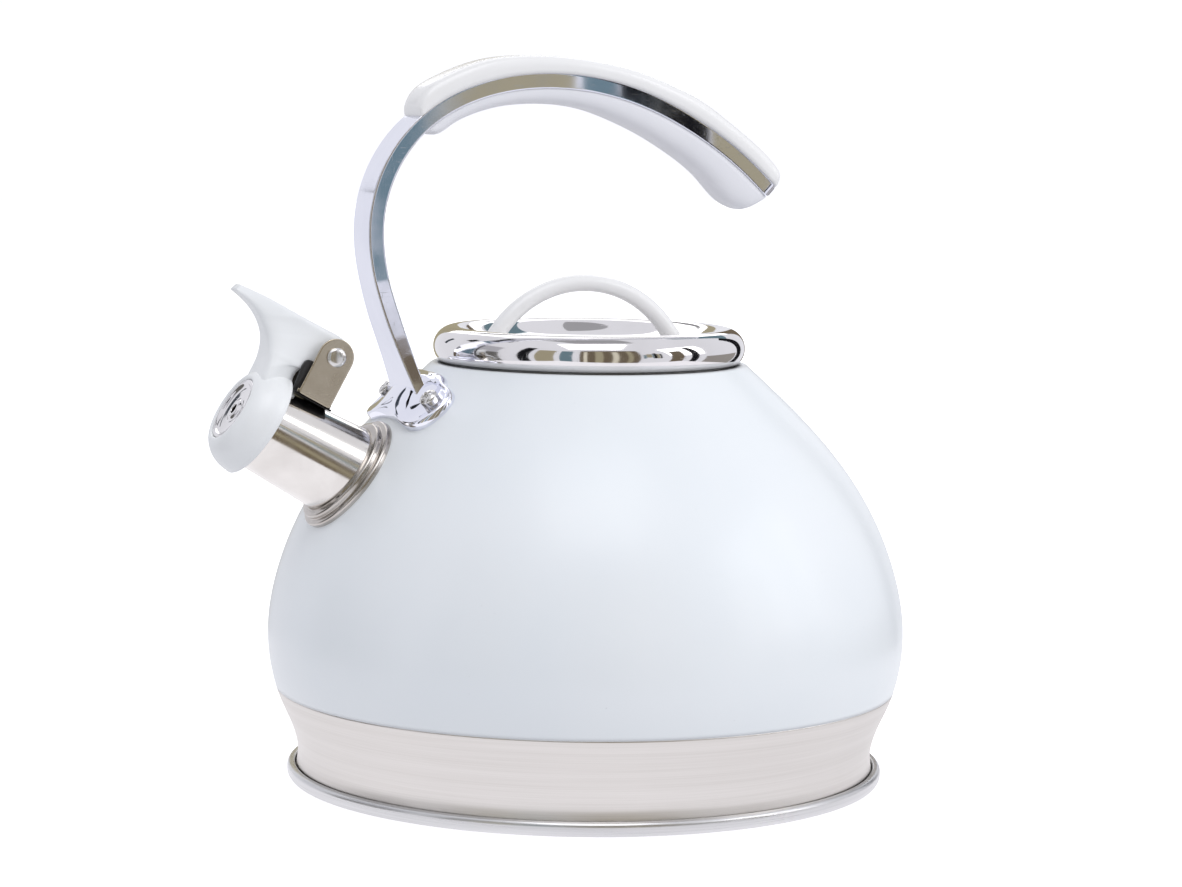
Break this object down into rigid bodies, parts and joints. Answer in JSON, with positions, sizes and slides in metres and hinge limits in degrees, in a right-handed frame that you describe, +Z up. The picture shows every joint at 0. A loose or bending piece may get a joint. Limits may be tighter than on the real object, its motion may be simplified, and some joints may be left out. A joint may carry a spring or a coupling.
{
  "type": "stovetop whistling kettle",
  "caption": "Round-bellied stovetop kettle with an open C-shaped fixed handle, a lift-off lid with a bow, and a sprung whistle cap with a thumb lever on a short spout.",
  "frame": {"origin": "centre of the underside, on the kettle's axis", "axes": "+Z up along the kettle's axis, spout towards -X, XZ is the plane of symmetry"},
  "size_m": [0.2446, 0.2196, 0.2483],
  "materials": {
    "enamel": "satin white enamel",
    "brushed_steel": "brushed round the body",
    "polished_steel": "mirror polished",
    "sheet_steel": "smooth sheet",
    "inner_steel": "satin",
    "aluminium": "plain",
    "chrome": "plated casting",
    "spring_steel": "drawn wire",
    "dark_pad": "black",
    "white_plastic": "smooth, lightly glossed",
    "cap_plastic": "smooth satin",
    "soft_grip": "soft touch",
    "silicone": "matt"
  },
  "bodies": {
    "kettle": {"upper_shell": "enamel", "lower_shell": "brushed_steel", "base_pan": "brushed_steel", "base_core": "aluminium", "pan_floor": "inner_steel", "neck_ring": "inner_steel", "spout_tube": "polished_steel", "spout_collar": "polished_steel", "hinge_bracket": "sheet_steel", "bracket_pad": "dark_pad", "hinge_pin": "sheet_steel", "hinge_springs": "spring_steel", "handle_saddle": "chrome", "handle_frame": "chrome", "grip_top": "white_plastic", "grip_under": "soft_grip", "saddle_screws": "chrome", "saddle_backing": "inner_steel"},
    "cap": {"cap_shell": "cap_plastic", "whistle_disc": "polished_steel", "whistle_cup": "inner_steel", "cap_seal": "silicone"},
    "lid": {"lid_cover": "polished_steel", "lid_skirt": "inner_steel", "lid_inner_plate": "inner_steel", "lid_bow": "white_plastic", "bow_ferrules": "chrome", "bow_nuts": "inner_steel"}
  },
  "joints": [
    {"name": "cap_hinge", "type": "hinge", "parent": "kettle", "child": "cap", "pos_m": [-0.09485, 0, 0.14741], "axis": [0, 1, 0], "range_deg": [0, 55], "stiffness_Nm_per_rad": 0.12, "springref_deg": -20.05},
    {"name": "lid_lift", "type": "slide", "parent": "kettle", "child": "lid", "axis": [0, 0, 1], "range_m": [0, 0.035]}
  ]
}
